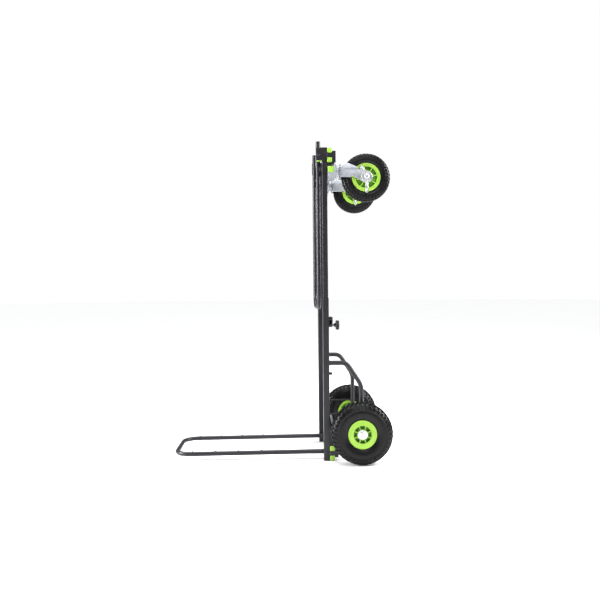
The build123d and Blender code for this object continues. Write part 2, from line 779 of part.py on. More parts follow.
with BuildPart() as caster_brackets:
    for sign in sides.values():
        with BuildSketch(along_x(caster_tube_back, sign * caster_y, bracket_middle)):
            RectangleRounded(bracket_width, bracket_height, bracket_corner)
            with GridLocations(plate_bolt_spacing_y, plate_bolt_spacing_z, 2, 2):
                Circle(plate_bolt_radius + seat_gap, mode=Mode.SUBTRACT)
            with Locations((0, caster_axis_height - bracket_middle)):
                Circle(kingpin_head_radius + body_gap, mode=Mode.SUBTRACT)
        extrude(amount=bracket_thickness)
        # Two cheeks run forward under the tube, deeper at the rail side.
        tube_foot = caster_tube_height - caster_tube_size / 2
        for cheek_y in (caster_y - bracket_width / 2 + bracket_cheek_inset, caster_tube_half):
            with BuildSketch(side_plane(sign * cheek_y)):
                with BuildLine():
                    Polyline(
                        (inner_back + seat_gap, tube_foot - seat_gap),
                        (caster_tube_back, tube_foot - seat_gap),
                        (caster_tube_back, bracket_cheek_foot),
                        (inner_back + seat_gap, bracket_foot),
                        close=True,
                    )
                make_face()
            extrude(amount=bracket_thickness / 2, both=True)
save(caster_brackets.part, "caster_brackets")

with BuildPart() as caster_plates:
    for sign in sides.values():
        with BuildSketch(along_x(bracket_back, sign * caster_y, bracket_middle)):
            RectangleRounded(bracket_width, bracket_height, bracket_corner)
            with GridLocations(plate_bolt_spacing_y, plate_bolt_spacing_z, 2, 2):
                Circle(plate_bolt_radius + seat_gap, mode=Mode.SUBTRACT)
            with Locations((0, caster_axis_height - bracket_middle)):
                Circle(kingpin_radius + seat_gap, mode=Mode.SUBTRACT)
        extrude(amount=caster_plate_thickness)
save(caster_plates.part, "caster_plates")

with BuildPart() as plate_bolts:
    for sign in sides.values():
        for offset_y in (-plate_bolt_spacing_y / 2, plate_bolt_spacing_y / 2):
            for offset_z in (-plate_bolt_spacing_z / 2, plate_bolt_spacing_z / 2):
                bolt_y = sign * caster_y + offset_y
                bolt_z = bracket_middle + offset_z
                seat = Plane(origin=(caster_plate_back, bolt_y, bolt_z), x_dir=(0, 1, 0), z_dir=(-1, 0, 0))
                bolt_length = caster_plate_back - caster_tube_back
                head = (plate_bolt_head, plate_bolt_head_height)
                add(button_bolt(seat, plate_bolt_radius, bolt_length, *head))
save(plate_bolts.part, "caster_plate_bolts")

with BuildPart() as kingpins:
    for sign in sides.values():
        with BuildSketch(along_x(bracket_back, sign * caster_y, caster_axis_height)):
            Circle(kingpin_radius)
        extrude(amount=crown_back + body_gap - bracket_back)
        with BuildSketch(along_x(bracket_back, sign * caster_y, caster_axis_height)):
            Circle(kingpin_head_radius)
        extrude(amount=-bracket_thickness)
        with BuildSketch(along_x(crown_back + body_gap, sign * caster_y, caster_axis_height)):
            Circle(kingpin_head_radius)
        extrude(amount=kingpin_head_height, taper=20)
save(kingpins.part, "kingpins")


# ---------------------------------------------------------------- casters
def caster_fork(y):
    """Pressed fork: swivel race, crown and two legs that taper to the axle."""
    with BuildPart() as fork:
        with BuildSketch(along_x(caster_plate_back + race_gap, y, caster_axis_height)):
            Circle(race_radius)
        extrude(amount=race_length)
        with BuildSketch(along_x(crown_front, y, caster_axis_height)):
            RectangleRounded(2 * fork_outside, 2 * fork_crown_radius, fork_corner)
        extrude(amount=fork_thickness)
        for side_sign in sides.values():
            leg = side_plane(y + side_sign * (fork_inside + fork_thickness / 2))
            crown_z = caster_axis_height
            with BuildSketch(leg):
                with BuildLine():
                    Polyline(
                        (crown_front, caster_axis_height - fork_crown_radius),
                        (crown_front, caster_axis_height + fork_crown_radius * 0.2),
                        (crown_front + fork_crown_radius * 0.35, crown_z + fork_crown_radius * 0.75),
                        (crown_front + fork_crown_radius * 1.1, caster_axis_height + fork_crown_radius),
                        (caster_axle_x + fork_eye_radius * 0.5, caster_axle_z + fork_eye_radius * 0.8),
                        (caster_axle_x, caster_axle_z - fork_eye_radius * 0.9),
                        (caster_axle_x - fork_eye_radius, caster_axle_z - fork_eye_radius * 0.75),
                        (crown_front + fork_crown_radius * 1.4, crown_z - fork_crown_radius * 1.05),
                        close=True,
                    )
                make_face()
                with Locations((caster_axle_x, caster_axle_z)):
                    Circle(fork_eye_radius)
                    Circle(caster_axle_radius + seat_gap, mode=Mode.SUBTRACT)
            extrude(amount=fork_thickness / 2, both=True)
        with BuildSketch(along_x(caster_plate_back, y, caster_axis_height)):
            Circle(kingpin_radius + running_clearance)
        extrude(amount=crown_back - caster_plate_back, mode=Mode.SUBTRACT)
    return fork.part


def brake_lever(y):
    """Pedal lever that turns on the caster's axle: hub, arm and tab in one plate."""
    seat = side_plane(y - fork_outside - body_gap)
    tab_end = brake_tab_length - brake_tab_width / 2
    arm_end = brake_arm_length - brake_arm_width / 2
    with BuildPart() as lever:
        with BuildSketch(seat):
            with Locations((caster_axle_x, caster_axle_z)):
                Circle(brake_hub_radius)
            with Locations(Location((caster_axle_x, caster_axle_z - tab_end / 2), -90)):
                SlotCenterToCenter(tab_end, brake_tab_width)
            arm_x = caster_axle_x - sin(radians(brake_arm_lean)) * arm_end / 2
            arm_z = caster_axle_z + cos(radians(brake_arm_lean)) * arm_end / 2
            with Locations(Location((arm_x, arm_z), 90 + brake_arm_lean)):
                SlotCenterToCenter(arm_end, brake_arm_width)
            with Locations((caster_axle_x, caster_axle_z)):
                Circle(caster_axle_radius + running_clearance, mode=Mode.SUBTRACT)
        extrude(amount=brake_thickness)
    return lever.part


def caster_axle(y):
    """Axle bolt with its head outside the brake lever and its nut outside the other leg."""
    head_y = y - fork_outside - 2 * body_gap - brake_thickness
    nut_y = y + fork_outside
    with BuildPart() as axle_bolt:
        seat = along_y(caster_axle_x, head_y, caster_axle_z)
        bolt_length = nut_y + caster_nut_height + caster_bolt_tail - head_y
        add(button_bolt(seat, caster_axle_radius, bolt_length, caster_head_radius, caster_head_height))
        nut_seat = along_y(caster_axle_x, nut_y, caster_axle_z)
        add(hex_nut(nut_seat, caster_nut_radius, caster_axle_radius + seat_gap, caster_nut_height))
    return axle_bolt.part


for side, sign in sides.items():
    y = sign * caster_y
    centre = (caster_axle_x, y, caster_axle_z)
    save(caster_fork(y), f"caster_fork_{side}")
    save(brake_lever(y), f"brake_lever_{side}")
    save(caster_axle(y), f"caster_axle_{side}")
    bead_size = (caster_rim_radius, caster_rim_width)
    tyre = pneumatic_tyre(centre, caster_radius, caster_width, *bead_size, caster_tyre_wall)
    save(tyre, f"caster_tyre_{side}")
    bearing = (caster_bearing_radius, caster_bearing_width, caster_axle_radius + hub_bore_gap)
    rim = spoked_rim(
        centre,
        caster_rim_radius,
        caster_rim_width,
        caster_window_radius,
        caster_hub_radius,
        caster_hub_width,
        (caster_ribs, caster_rib_turn, caster_web_thickness),
        bearing,
    )
    save(rim, f"caster_rim_{side}")
    bearings = wheel_bearings(
        centre, caster_hub_width, caster_bearing_radius, caster_bearing_width, caster_axle_radius
    )
    save(bearings, f"caster_bearings_{side}")
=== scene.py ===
import math
import random

import bmesh
import bpy
from mathutils import Matrix, Vector


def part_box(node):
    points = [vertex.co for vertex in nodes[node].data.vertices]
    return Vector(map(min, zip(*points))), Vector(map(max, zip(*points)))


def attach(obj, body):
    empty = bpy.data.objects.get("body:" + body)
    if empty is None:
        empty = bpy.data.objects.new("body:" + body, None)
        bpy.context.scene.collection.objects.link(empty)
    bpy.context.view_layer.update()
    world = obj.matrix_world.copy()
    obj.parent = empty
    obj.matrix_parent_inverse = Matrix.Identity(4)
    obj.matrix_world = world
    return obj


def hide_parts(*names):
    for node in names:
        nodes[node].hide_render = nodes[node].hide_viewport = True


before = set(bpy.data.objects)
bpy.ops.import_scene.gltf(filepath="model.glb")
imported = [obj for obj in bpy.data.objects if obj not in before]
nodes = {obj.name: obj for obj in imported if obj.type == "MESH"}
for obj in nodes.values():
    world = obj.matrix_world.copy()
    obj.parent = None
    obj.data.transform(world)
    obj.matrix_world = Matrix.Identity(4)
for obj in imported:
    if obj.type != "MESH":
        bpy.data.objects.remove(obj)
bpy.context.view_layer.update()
scene = bpy.context.scene
MM = 0.001
SIDES = {"left": -1, "right": 1}
draw = random.Random(7)
ROOM_LIGHT = 0.24

# Settings that all materials share: lengths in metres, the rest as shares of each value's own range.
EDGE_RADIUS = 0.0012
EDGE_START, EDGE_FULL = 0.97, 0.80
# Painted shade in recesses: the occlusion's reach, the range of its mask, and its samples.
PAINTED_SHADE_REACH = 0.022
PAINTED_SHADE_FULL, PAINTED_SHADE_START = 0.25, 0.80
PAINTED_SHADE_SAMPLES = 12
BUMP_STRENGTH = 0.6
CELL_SHADE = 0.72
CELL_SHARE = 0.35


# ---------------------------------------------------------------- materials
def make_material(name, colour, rough, tint=0.12, blotch=16.0, rough_spread=0.06, grain=700.0,
                  grain_depth=0.00006, edge_wear_and_highlight=0.0, edge_wear_and_highlight_colour=(0.3, 0.3, 0.3), cells=0.0, painted_hollow_shade=None,
                  fixed=None):
    """Material whose colour, roughness and bump come from layered noise in the piece's own coordinates.

    The edge wear term lightens the edges, partly as patchy wear and partly as a painted highlight; cells adds zinc
    spangle; the deep colour is painted shade that recesses darken to; and fixed holds constants for the shader's
    sockets.
    """
    mat = bpy.data.materials.new(name)
    mat.use_nodes = True
    tree = mat.node_tree
    shader = tree.nodes["Principled BSDF"]
    coords = tree.nodes.new("ShaderNodeTexCoord")

    def noise(scale, detail):
        made = tree.nodes.new("ShaderNodeTexNoise")
        made.inputs["Scale"].default_value = scale
        made.inputs["Detail"].default_value = detail
        tree.links.new(coords.outputs["Object"], made.inputs["Vector"])
        return made.outputs["Fac"]

    def mapped(value, from_low, from_high, to_low, to_high):
        made = tree.nodes.new("ShaderNodeMapRange")
        made.inputs["From Min"].default_value = from_low
        made.inputs["From Max"].default_value = from_high
        made.inputs["To Min"].default_value = to_low
        made.inputs["To Max"].default_value = to_high
        tree.links.new(value, made.inputs["Value"])
        return made.outputs["Result"]

    def mixed(factor, low, high):
        made = tree.nodes.new("ShaderNodeMix")
        made.data_type = "RGBA"
        tree.links.new(factor, made.inputs["Factor"])
        for socket, value in ((made.inputs["A"], low), (made.inputs["B"], high)):
            if isinstance(value, bpy.types.NodeSocket):
                tree.links.new(value, socket)
            else:
                socket.default_value = (*value, 1.0)
        return made.outputs["Result"]

    dark = tuple(c * (1 - tint) for c in colour)
    light = tuple(min(1.0, c * (1 + tint)) for c in colour)
    tone = mixed(mapped(noise(blotch, 4.0), 0.3, 0.7, 0.0, 1.0), dark, light)
    fleck = mapped(noise(grain * 0.6, 2.0), 0.55, 0.75, 0.0, 0.35)
    tone = mixed(fleck, tone, light)
    rough_noise = noise(blotch * 4.0, 5.0)
    if cells:
        spangle = tree.nodes.new("ShaderNodeTexVoronoi")
        spangle.inputs["Scale"].default_value = cells
        tree.links.new(coords.outputs["Object"], spangle.inputs["Vector"])
        dull = tuple(c * CELL_SHADE for c in colour)
        tone = mixed(mapped(spangle.outputs["Color"], 0.0, 1.0, 0.0, CELL_SHARE), tone, dull)
    if edge_wear_and_highlight:
        # Lighter edges: partly patchy wear, and partly a painted highlight that stands in for light caught by
        # rounded edges.
        bevelled = tree.nodes.new("ShaderNodeBevel")
        bevelled.inputs["Radius"].default_value = EDGE_RADIUS
        true = tree.nodes.new("ShaderNodeNewGeometry")
        dot = tree.nodes.new("ShaderNodeVectorMath")
        dot.operation = "DOT_PRODUCT"
        tree.links.new(bevelled.outputs["Normal"], dot.inputs[0])
        tree.links.new(true.outputs["Normal"], dot.inputs[1])
        edge = mapped(dot.outputs["Value"], EDGE_START, EDGE_FULL, 0.0, edge_wear_and_highlight)
        patchy = tree.nodes.new("ShaderNodeMath")
        patchy.operation = "MULTIPLY"
        tree.links.new(edge, patchy.inputs[0])
        tree.links.new(mapped(noise(90.0, 4.0), 0.35, 0.6, 0.25, 1.0), patchy.inputs[1])
        tone = mixed(patchy.outputs["Value"], tone, edge_wear_and_highlight_colour)
    if painted_hollow_shade:
        # Painted shade: where occlusion finds nearby surfaces, the colour darkens towards the deep colour, as
        # shaded recesses and gaps would.
        shade_occlusion = tree.nodes.new("ShaderNodeAmbientOcclusion")
        shade_occlusion.samples = PAINTED_SHADE_SAMPLES
        shade_occlusion.only_local = True
        shade_occlusion.inputs["Distance"].default_value = PAINTED_SHADE_REACH
        tone = mixed(mapped(shade_occlusion.outputs["AO"], PAINTED_SHADE_FULL, PAINTED_SHADE_START, 0.0, 1.0), painted_hollow_shade, tone)
    tree.links.new(tone, shader.inputs["Base Color"])
    roughness = mapped(rough_noise, 0.3, 0.7, rough - rough_spread, rough + rough_spread)
    tree.links.new(roughness, shader.inputs["Roughness"])
    bump = tree.nodes.new("ShaderNodeBump")
    bump.inputs["Strength"].default_value = BUMP_STRENGTH
    bump.inputs["Distance"].default_value = grain_depth
    tree.links.new(noise(grain, 3.0), bump.inputs["Height"])
    tree.links.new(bump.outputs["Normal"], shader.inputs["Normal"])
    for socket, value in (fixed or {}).items():
        shader.inputs[socket].default_value = value
    return mat


# Charcoal paint: its lighter edges are partly wear and partly a painted highlight.
paint = make_material("powder_coat_charcoal", (0.011, 0.011, 0.0145), 0.34, tint=0.12, grain=1300.0,
                      grain_depth=0.00008, edge_wear_and_highlight=0.35, edge_wear_and_highlight_colour=(0.07, 0.07, 0.08),
                      fixed={"Specular IOR Level": 0.4})
# Green plastic: the deep green in the rim windows and other recesses is painted shade.
green = make_material("moulded_plastic_green", (0.36, 0.63, 0.075), 0.34, tint=0.05, grain=900.0,
                      grain_depth=0.00003, painted_hollow_shade=(0.035, 0.26, 0.006), fixed={"Specular IOR Level": 0.3})
black_plastic = make_material("moulded_plastic_black", (0.006, 0.006, 0.008), 0.38, tint=0.15, grain=1600.0,
                              fixed={"Specular IOR Level": 0.35})
soft_rubber = make_material("stud_rubber_black", (0.005, 0.005, 0.005), 0.55, tint=0.2, grain=1100.0)
# Tyre rubber: its lighter edges are partly scuffing and partly a painted highlight.
tyre_rubber = make_material("tyre_rubber_black", (0.0034, 0.0032, 0.0040), 0.36, tint=0.25, blotch=30.0,
                            rough_spread=0.10, grain=620.0, grain_depth=0.00012, edge_wear_and_highlight=0.4,
                            edge_wear_and_highlight_colour=(0.035, 0.034, 0.037), fixed={"Specular IOR Level": 0.23})
zinc = make_material("zinc_plate", (0.52, 0.545, 0.585), 0.38, tint=0.10, blotch=22.0, rough_spread=0.10,
                     grain=500.0, grain_depth=0.00004, cells=260.0, fixed={"Metallic": 0.8})
bright_zinc = make_material("zinc_plate_bright", (0.66, 0.68, 0.665), 0.32, tint=0.06, blotch=30.0,
                            grain=500.0, grain_depth=0.00003, cells=320.0, fixed={"Metallic": 0.85})
hub_metal = make_material("hub_cap_silver", (0.76, 0.78, 0.79), 0.28, tint=0.05, blotch=40.0, grain=800.0,
                          grain_depth=0.00003, fixed={"Metallic": 0.8})
steel = make_material("bearing_steel", (0.55, 0.56, 0.58), 0.26, tint=0.10, blotch=60.0, grain=900.0,
                      grain_depth=0.00003, fixed={"Metallic": 1.0})
black_fastener = make_material("black_oxide_fastener", (0.035, 0.035, 0.038), 0.38, tint=0.15, blotch=80.0,
                               grain=900.0, fixed={"Metallic": 0.7})

# ---------------------------------------------------------------- turns and mesh helpers
# A turned shape's own Z along +X, and flat outlines seen from the side (-Y) and from behind (+X).
X_AXIS = Matrix.Rotation(math.radians(90), 4, "Y")
SIDE_VIEW = Matrix(((1, 0, 0, 0), (0, 0, -1, 0), (0, 1, 0, 0), (0, 0, 0, 1)))
BACK_VIEW = Matrix(((0, 0, 1, 0), (1, 0, 0, 0), (0, 1, 0, 0), (0, 0, 0, 1)))
HEX_SIDE = math.radians(60)


def lathe(bm, place, profile, segments=48, closed=False, hexes=()):
    """Turns a profile of (height, radius) in mm about the place's own Z. Points listed in hexes are six-sided."""
    rings = []
    for index, (height, radius) in enumerate(profile):
        ring = []
        for step in range(segments):
            angle = 2 * math.pi * step / segments
            reach = radius
            if index in hexes:
                reach = radius * math.cos(HEX_SIDE / 2) / math.cos(angle % HEX_SIDE - HEX_SIDE / 2)
            spot = (reach * math.cos(angle) * MM, reach * math.sin(angle) * MM, height * MM)
            ring.append(bm.verts.new(place @ Vector(spot)))
        rings.append(ring)
    count = len(rings) if closed else len(rings) - 1
    for index in range(count):
        here, after = rings[index], rings[(index + 1) % len(rings)]
        for step in range(segments):
            nxt = (step + 1) % segments
            bm.faces.new((here[step], here[nxt], after[nxt], after[step]))


def plate(bm, place, loops, thickness, bevel):
    """Flat plate with rounded edges between its loops of (x, y) in mm, centred on the place's own XY plane."""
    curve = bpy.data.curves.new("outline", "CURVE")
    curve.dimensions = "2D"
    curve.fill_mode = "BOTH"
    curve.extrude = thickness / 2 - bevel
    curve.bevel_depth = bevel
    curve.bevel_resolution = 2
    curve.offset = -bevel
    for loop in loops:
        spline = curve.splines.new("POLY")
        spline.points.add(len(loop) - 1)
        for point, (x, y) in zip(spline.points, loop):
            point.co = (x, y, 0, 1)
        spline.use_cyclic_u = True
    carrier = bpy.data.objects.new("outline", curve)
    scene.collection.objects.link(carrier)
    graph = bpy.context.evaluated_depsgraph_get()
    mesh = bpy.data.meshes.new_from_object(carrier.evaluated_get(graph))
    mesh.transform(place @ Matrix.Scale(MM, 4))
    bm.from_mesh(mesh)
    bpy.data.objects.remove(carrier)
    bpy.data.meshes.remove(mesh)
    bpy.data.curves.remove(curve)


def circle(x, y, radius, steps=48, turn=0.0):
    angles = [2 * math.pi * i / steps + turn for i in range(steps)]
    return [(x + radius * math.cos(a), y + radius * math.sin(a)) for a in angles]


def arc(x, y, radius, degrees):
    return [(x + radius * math.cos(math.radians(a)), y + radius * math.sin(math.radians(a))) for a in degrees]


def rounded(corners, radius, steps=5):
    """Closed outline through the corners, each rounded by a radius in mm."""
    made = []
    for index, corner in enumerate(corners):
        here = Vector(corner)
        before = (Vector(corners[index - 1]) - here)
        after = (Vector(corners[(index + 1) % len(corners)]) - here)
        cut = min(radius, before.length * 0.45, after.length * 0.45)
        start, end = here + before.normalized() * cut, here + after.normalized() * cut
        for step in range(steps + 1):
            t = step / steps
            made.append(tuple((1 - t) ** 2 * start + 2 * t * (1 - t) * here + t * t * end))
    return made


def tube(bm, points, radius, sides=12, ripple=0.0, pitch=3.0):
    """Round rod or bead along points in mm, rippled if asked. Ends are closed, or meet if the points do."""
    loop = (Vector(points[0]) - Vector(points[-1])).length < 1e-6
    line = [Vector(p) for p in (points[:-1] if loop else points)]
    rings, travelled = [], 0.0
    for index, point in enumerate(line):
        before = line[index - 1] if loop or index else point
        after = line[(index + 1) % len(line)] if loop or index < len(line) - 1 else point
        along = (after - before).normalized()
        across = along.cross(Vector((0.31, 0.23, 0.92))).normalized()
        other = along.cross(across)
        travelled += (point - before).length if index else 0
        wave = math.sin(2 * math.pi * travelled / pitch)
        size = radius * (1 + ripple * wave + ripple * 0.5 * draw.uniform(-1, 1))
        rings.append([bm.verts.new((point + size * (math.cos(a) * across + math.sin(a) * other)) * MM)
                      for a in (2 * math.pi * s / sides for s in range(sides))])
    for index in range(len(rings) if loop else len(rings) - 1):
        here, nxt = rings[index], rings[(index + 1) % len(rings)]
        for s in range(sides):
            bm.faces.new((here[s], here[(s + 1) % sides], nxt[(s + 1) % sides], nxt[s]))
    if not loop:
        bm.faces.new(rings[0])
        bm.faces.new(rings[-1])


def finish_piece(bm, name, body, material, replaces=(), sharp=32):
    """Welds, smooths and names the mesh, then ties it to its body."""
    bmesh.ops.remove_doubles(bm, verts=bm.verts, dist=2e-6)
    bmesh.ops.dissolve_degenerate(bm, edges=bm.edges, dist=1e-6)
    bmesh.ops.recalc_face_normals(bm, faces=bm.faces)
    mesh = bpy.data.meshes.new(name)
    bm.to_mesh(mesh)
    bm.free()
    mesh.materials.append(material)
    mesh.shade_smooth()
    mesh.set_sharp_from_angle(angle=math.radians(sharp))
    piece = bpy.data.objects.new(name, mesh)
    scene.collection.objects.link(piece)
    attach(piece, body)
    if replaces:
        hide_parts(*replaces)
    return piece


def at(x, y, z, turn=Matrix.Identity(4)):
    """A place in the frame, in mm, with its own Z turned as asked."""
    return Matrix.Translation(Vector((x, y, z)) * MM) @ turn


def facing_y(sign):
    """Turn whose Z points to +Y or -Y and whose X stays X."""
    return Matrix.Rotation(math.radians(-90 if sign > 0 else 90), 4, "X")


def centre_mm(node):
    """A node's middle and its size, in mm."""
    low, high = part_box(node)
    return (low + high) / 2 / MM, (high - low) / MM


# ---------------------------------------------------------------- tyres
def spline_through(points, steps=8):
    """Smooth line through (y, r) points, as many short runs."""
    made = []
    for i in range(len(points) - 1):
        p0, p1 = Vector(points[max(i - 1, 0)]), Vector(points[i])
        p2, p3 = Vector(points[i + 1]), Vector(points[min(i + 2, len(points) - 1)])
        for s in range(steps):
            t = s / steps
            made.append(0.5 * ((2 * p1) + (p2 - p0) * t + (2 * p0 - 5 * p1 + 4 * p2 - p3) * t * t
                               + (3 * p1 - p0 - 3 * p2 + p3) * t ** 3))
    made.append(Vector(points[-1]))
    return made


TREAD_COLUMNS = 12
WALL_RINGS = 14
BLOCK_FLANK = 0.9
SHOULDER_RUN, SHOULDER_SHARE = 4, 0.45
BLOCKS = {0.0: set(range(0, 7)), 0.5: {6, 7, 8, 9, 10, 11, 0}, "short": {1, 2, 3, 4, 5}}


def tyre(name, node, body, outline, rows, depth, pitches, slant, inner):
    """Knobbed tyre, in mm: grooves are cut into the outline, as deep as depth, and leave staggered blocks.

    outline and inner are (y, radius) lines. rows are (start, end, phase, end of the short blocks), along
    the outline. The blocks of one pitch fill the columns that BLOCKS names for their phase.
    """
    middle, _ = centre_mm(node)
    line = spline_through(outline)
    lengths = [0.0]
    for a, b in zip(line, line[1:]):
        lengths.append(lengths[-1] + (b - a).length)

    def on_line(s):
        s = min(max(s, 0.0), lengths[-1])
        i = next(k for k in range(1, len(lengths)) if lengths[k] >= s - 1e-9)
        part = (s - lengths[i - 1]) / max(lengths[i] - lengths[i - 1], 1e-9)
        along = (line[i] - line[i - 1]).normalized()
        return line[i - 1].lerp(line[i], part), Vector((-along.y, along.x))

    stations = []
    for start, end, phase, short_end in rows:
        stations += [(start - BLOCK_FLANK, None), (start, phase), ((start + end) / 2, phase), (end, phase)]
        if short_end:
            stations += [(end + BLOCK_FLANK, "short"), (short_end, "short")]
            end = short_end
        stations += [(end + BLOCK_FLANK, None)]
    stations = [(max(s, 0.0), p) for s, p in stations if s > -BLOCK_FLANK + 1e-6 or p is not None]
    tread_end = stations[-1][0]
    wall_length = lengths[-1] - tread_end
    stations += [(tread_end + wall_length * k / WALL_RINGS, "wall") for k in range(1, WALL_RINGS + 1)]
    total = pitches * TREAD_COLUMNS
    halves = []
    for sign in (1, -1):
        half = []
        for s, phase in stations:
            place, out = on_line(s)
            ring = []
            shear = slant * min(s, rows[-1][0]) * sign
            for step in range(total):
                high = phase == "wall" or (phase is not None and step % TREAD_COLUMNS in BLOCKS[phase])
                drop = 0.0 if high else depth
                if not high and s > tread_end - SHOULDER_RUN:
                    drop *= SHOULDER_SHARE
                spot = place - out * drop if out.y > 0 or out.x > 0 else place + out * drop
                angle = 2 * math.pi * (step + shear * TREAD_COLUMNS) / total
                ring.append(Vector((spot.y * math.cos(angle), sign * spot.x, spot.y * math.sin(angle))))
            half.append(ring)
        halves.append(half)
    angles = [2 * math.pi * k / total for k in range(total)]
    inside = [[Vector((r * math.cos(a), y, r * math.sin(a))) for a in angles] for y, r in inner]
    rings = halves[0][::-1] + halves[1][(1 if stations[0][0] == 0 else 0):] + inside
    bm = bmesh.new()
    made = [[bm.verts.new((middle + v) * MM) for v in ring] for ring in rings]
    for index in range(len(made)):
        here, nxt = made[index], made[(index + 1) % len(made)]
        for k in range(total):
            m = (k + 1) % total
            bm.faces.new((here[k], here[m], nxt[m], nxt[k]))
    return finish_piece(bm, name, body, tyre_rubber, [node], sharp=38)


big_outline = [(0, 127), (12, 126.6), (22, 124.6), (29.5, 120.6), (34, 115), (36.6, 108.5), (37.4, 102.5),
               (36.2, 98.6), (36.9, 94), (37.9, 87), (37.2, 80), (35, 72.4), (31.6, 65.4), (28.6, 61.0),
               (26.4, 58.8), (25, 56.9)]
big_rows = [(0.0, 7.5, 0.0, None), (10.5, 19.0, 0.5, None), (22.0, 34.0, 0.0, 46.0)]
big_inner = [(-18, 56.9), (-25, 67), (-28.5, 85), (-26, 102), (-14, 115), (0, 117), (14, 115), (26, 102),
             (28.5, 85), (25, 67), (18, 56.9)]
small_outline = [(0, 100), (8, 99.7), (15, 98.2), (20, 95), (23, 90.4), (24.4, 85.5), (24.0, 82.6), (24.5, 79),
                 (24.9, 74), (24, 69), (21.6, 64.4), (18.6, 60.8), (16.6, 58.8), (15.2, 57.4)]
small_rows = [(0.0, 5.0, 0.0, None), (7.4, 13.6, 0.5, None), (16.0, 25.0, 0.0, 34.0)]
small_inner = [(-9, 57.4), (-15, 64), (-18, 74), (-16, 86), (-8, 91.5), (0, 92.5), (8, 91.5), (16, 86),
               (18, 74), (15, 64), (9, 57.4)]
for side in SIDES:
    tyre(f"knobbed_tyre_{side}", f"tyre_{side}", f"wheel_{side}", big_outline, big_rows, depth=5.4, pitches=40,
         slant=0.012, inner=big_inner)
    tyre(f"knobbed_caster_tyre_{side}", f"caster_tyre_{side}", f"caster_wheel_{side}", small_outline, small_rows,
         depth=4.0, pitches=40, slant=0.014, inner=small_inner)


# ---------------------------------------------------------------- rims
BOSS_PROFILE = [(-1, 0.01), (-1, 3.0), (0.0, 3.0), (0.35, 2.7), (0.4, 2.3), (0.3, 1.5), (-0.6, 1.3), (-0.6, 0.01)]


def rim(name, node, body, outer_sign, radius, half, window, back_window, web, hub, hub_half, ribs, turn,
        bearing, bore):
    """Moulded rim, in mm: face rings, barrel and web in one turned shell, then hub, ribs and screw bosses."""
    middle, _ = centre_mm(node)
    place = at(*middle, facing_y(outer_sign))
    barrel = radius - 5
    lip = radius + 2

    def half_shell(opening):
        return [(web, hub - 3), (web, barrel - 2), (web + 1.5, barrel), (half - 6, barrel),
                (half - 4, barrel - 1.5), (half - 4, opening + 1.2), (half - 3.2, opening + 0.2),
                (half - 1.2, opening), (half - 0.3, opening + 0.5), (half, opening + 1.6),
                (half - 0.3, opening + 3.4), (half - 0.5, radius - 5), (half - 0.9, radius - 3.4),
                (half - 0.2, radius - 2.0), (half, radius - 0.6), (half, lip - 1.2), (half - 0.5, lip - 0.3),
                (half - 1.3, lip), (half - 2.2, lip - 0.3), (half - 2.6, lip - 1.2), (half - 2.9, radius + 0.1),
                (half - 7, radius - 0.1), (half - 12, radius - 1.2)]

    bm = bmesh.new()
    back_shell = [(-h, r) for h, r in reversed(half_shell(back_window))]
    lathe(bm, place, half_shell(window) + back_shell, 96, closed=True)
    pocket = 11 if hub > 20 else 8
    hub_side = [(0, bore), (hub_half - pocket, bore), (hub_half - pocket, bearing), (hub_half - 0.5, bearing),
                (hub_half, bearing + 0.5), (hub_half, hub - 1), (hub_half - 0.3, hub - 0.3), (hub_half - 1, hub),
                (web + 5, hub + 0.4), (web + 1.5, hub + 1.6), (web - 0.5, hub + 3.4), (0, hub + 3.4)]
    lathe(bm, place, hub_side + [(-h, r) for h, r in reversed(hub_side)], 64)
    for index in range(ribs):
        spin = place @ Matrix.Rotation(2 * math.pi * index / ribs + turn, 4, "Z")
        for sign, opening in ((1, window), (-1, back_window)):
            start, end, top = hub - 1.5, opening + 3.5, half + 0.25
            made = []
            for height, w in ((web - 1.0, 2.3), (top - 0.8, 1.8), (top - 0.2, 1.55), (top, 1.0)):
                corners = ((start, -w), (end, -w), (end, w), (start, w))
                made.append([bm.verts.new(spin @ Vector((x * MM, y * MM, sign * height * MM))) for x, y in corners])
            for a, b in zip(made, made[1:]):
                for k in range(4):
                    bm.faces.new((a[k], a[(k + 1) % 4], b[(k + 1) % 4], b[k]))
            bm.faces.new(made[0])
            bm.faces.new(made[-1])
        boss = spin @ Matrix.Rotation(math.pi / ribs, 4, "Z")
        for sign in ((1, -1) if back_window == window else (1,)):
            boss_reach = (window + radius) / 2
            spot = boss @ Matrix.Translation(Vector((boss_reach * MM, 0, sign * (half - 0.45) * MM)))
            if sign < 0:
                spot = spot @ Matrix.Rotation(math.pi, 4, "X")
            lathe(bm, spot, BOSS_PROFILE, 18)
    return finish_piece(bm, name, body, green, [node], sharp=30)


for side, sign in SIDES.items():
    rim(f"moulded_rim_{side}", f"rim_{side}", f"wheel_{side}", sign, radius=56.5, half=30, window=36,
        back_window=47, web=14, hub=22, hub_half=30, ribs=8, turn=math.radians(22.5), bearing=17.6, bore=10)
    rim(f"moulded_caster_rim_{side}", f"caster_rim_{side}", f"caster_wheel_{side}", sign, radius=57, half=20,
        window=44, back_window=44, web=7, hub=17, hub_half=28, ribs=8, turn=math.radians(12), bearing=14.1, bore=8)


def bearing_rings(name, node, body, half, outer, inner, width):
    """Two sealed ball bearings, in mm: outer race, recessed seal and inner race."""
    middle, _ = centre_mm(node)
    race = (outer - inner) * 0.2
    profile = [(-width, inner), (-0.4, inner), (0, inner + 0.4), (0, inner + race), (-0.6, inner + race + 0.2),
               (-0.8, inner + race + 1), (-0.8, outer - race - 1), (-0.6, outer - race - 0.2),
               (0, outer - race), (0, outer - 0.4), (-0.4, outer), (-width, outer)]
    bm = bmesh.new()
    for sign in SIDES.values():
        lathe(bm, at(middle.x, middle.y + sign * half, middle.z, facing_y(sign)), profile, 48, closed=True)
    finish_piece(bm, name, body, steel, [node])


